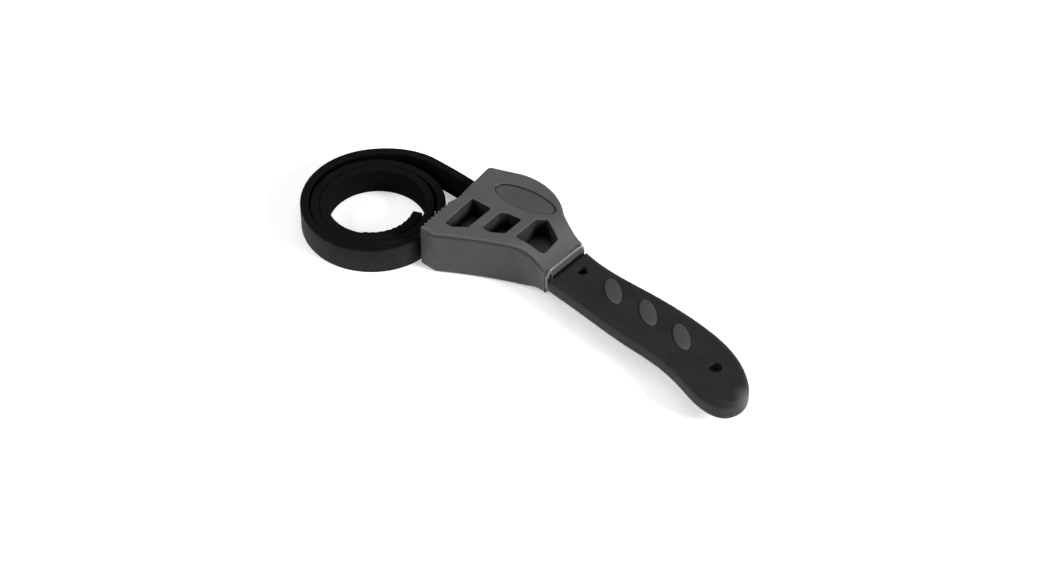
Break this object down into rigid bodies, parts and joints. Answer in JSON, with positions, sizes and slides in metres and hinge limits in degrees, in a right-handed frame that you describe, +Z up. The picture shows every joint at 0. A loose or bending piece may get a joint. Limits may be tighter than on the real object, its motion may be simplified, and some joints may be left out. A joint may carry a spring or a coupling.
{
  "type": "strap wrench",
  "caption": "Rubber strap wrench with a toothed jaw head, a coiled flat strap and a contoured soft grip handle, for turning filters, lids and pipes.",
  "frame": {"origin": "axis of the strap's anchor pin, at the flat underside that the head rests on", "axes": "+X along the handle away from the head, +Y towards the domed back of the head, +Z up"},
  "size_m": [0.2934, 0.1138, 0.028],
  "materials": {
    "head_plastic": "fine moulded grain, satin",
    "grip_rubber": "soft touch, matt",
    "strap_rubber": "matt moulded belt",
    "ferrule": "satin with polished rims",
    "fastener_steel": "blackened steel",
    "pin_steel": "ground steel",
    "insert_brass": "plain"
  },
  "bodies": {
    "handle": {"head_shell_upper": "head_plastic", "head_shell_lower": "head_plastic", "grip_upper": "grip_rubber", "grip_lower": "grip_rubber", "neck_ferrule": "ferrule", "anchor_pin": "pin_steel", "head_screw_1": "fastener_steel", "head_screw_2": "fastener_steel", "head_screw_3": "fastener_steel", "head_insert_1": "insert_brass", "head_insert_2": "insert_brass", "head_insert_3": "insert_brass", "handle_screw_front": "fastener_steel", "handle_screw_rear": "fastener_steel", "handle_nut_front": "fastener_steel", "handle_nut_rear": "fastener_steel"},
    "strap": {"strap": "strap_rubber"}
  },
  "joints": [
    {"name": "strap_swing", "type": "hinge", "parent": "handle", "child": "strap", "pos_m": [0, 0, 0.014], "axis": [0, 0, 1], "range_deg": [-20, 0]}
  ]
}
